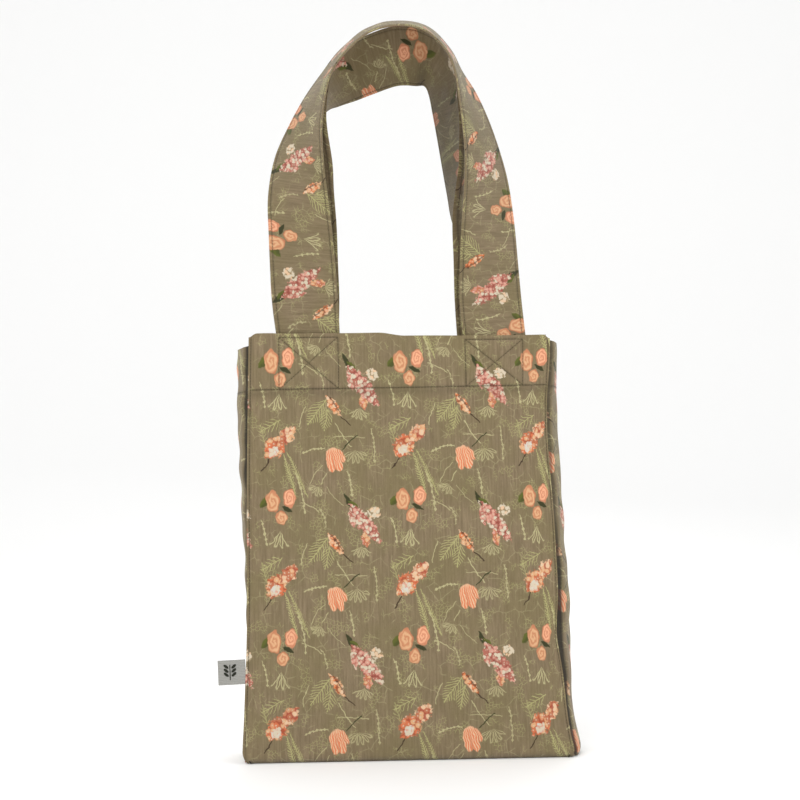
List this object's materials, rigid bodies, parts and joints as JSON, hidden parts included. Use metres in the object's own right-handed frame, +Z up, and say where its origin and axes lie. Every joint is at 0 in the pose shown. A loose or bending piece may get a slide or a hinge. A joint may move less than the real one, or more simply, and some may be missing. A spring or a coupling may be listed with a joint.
{
  "type": "tote bag",
  "caption": "Tall gusseted cloth tote bag with two long flat shoulder straps sewn inside the mouth and a small folded side label.",
  "frame": {"origin": "middle of the underside of the base, on the surface that the bag stands on", "axes": "+Z up, +X along the front wall to the right as seen from the front, -Y out of the front wall"},
  "size_m": [0.3577, 0.1044, 0.7686],
  "materials": {
    "printed_canvas": "olive taupe cotton canvas with a small botanical print",
    "thread": "matt polyester sewing thread",
    "label_tape": "light grey woven tape",
    "label_yarn": "black woven yarn"
  },
  "bodies": {
    "bag_body": {"rear_panel": "printed_canvas", "left_gusset": "printed_canvas", "right_gusset": "printed_canvas", "base_panel": "printed_canvas", "rear_hem_facing": "printed_canvas", "left_gusset_hem": "printed_canvas", "right_gusset_hem": "printed_canvas", "rear_handle_ends": "printed_canvas", "rear_hem_stitching": "thread", "gusset_hem_stitching": "thread", "rear_box_stitching": "thread", "rear_corner_topstitching": "thread"},
    "front_wall": {"front_panel": "printed_canvas", "front_hem_facing": "printed_canvas", "front_handle_ends": "printed_canvas", "front_hem_stitching": "thread", "front_box_stitching": "thread", "front_corner_topstitching": "thread"},
    "front_handle": {"front_handle": "printed_canvas", "front_handle_stitching": "thread"},
    "rear_handle": {"rear_handle": "printed_canvas", "rear_handle_stitching": "thread"},
    "label": {"side_label": "label_tape", "label_sprig": "label_yarn"}
  },
  "joints": [
    {"name": "mouth_opening", "type": "hinge", "parent": "bag_body", "child": "front_wall", "pos_m": [0, -0.035, 0], "axis": [1, 0, 0], "range_deg": [0, 4]},
    {"name": "front_handle_swing", "type": "hinge", "parent": "front_wall", "child": "front_handle", "pos_m": [0, -0.0253, 0.42008], "axis": [1, 0, 0], "range_deg": [0, 150]},
    {"name": "rear_handle_swing", "type": "hinge", "parent": "bag_body", "child": "rear_handle", "pos_m": [0, 0.0253, 0.42008], "axis": [-1, 0, 0], "range_deg": [0, 145]},
    {"name": "label_flap", "type": "hinge", "parent": "front_wall", "child": "label", "pos_m": [-0.161, -0.0321, 0.089], "axis": [0.0214, 0.0238, 0.9995], "range_deg": [-15, 120]}
  ]
}
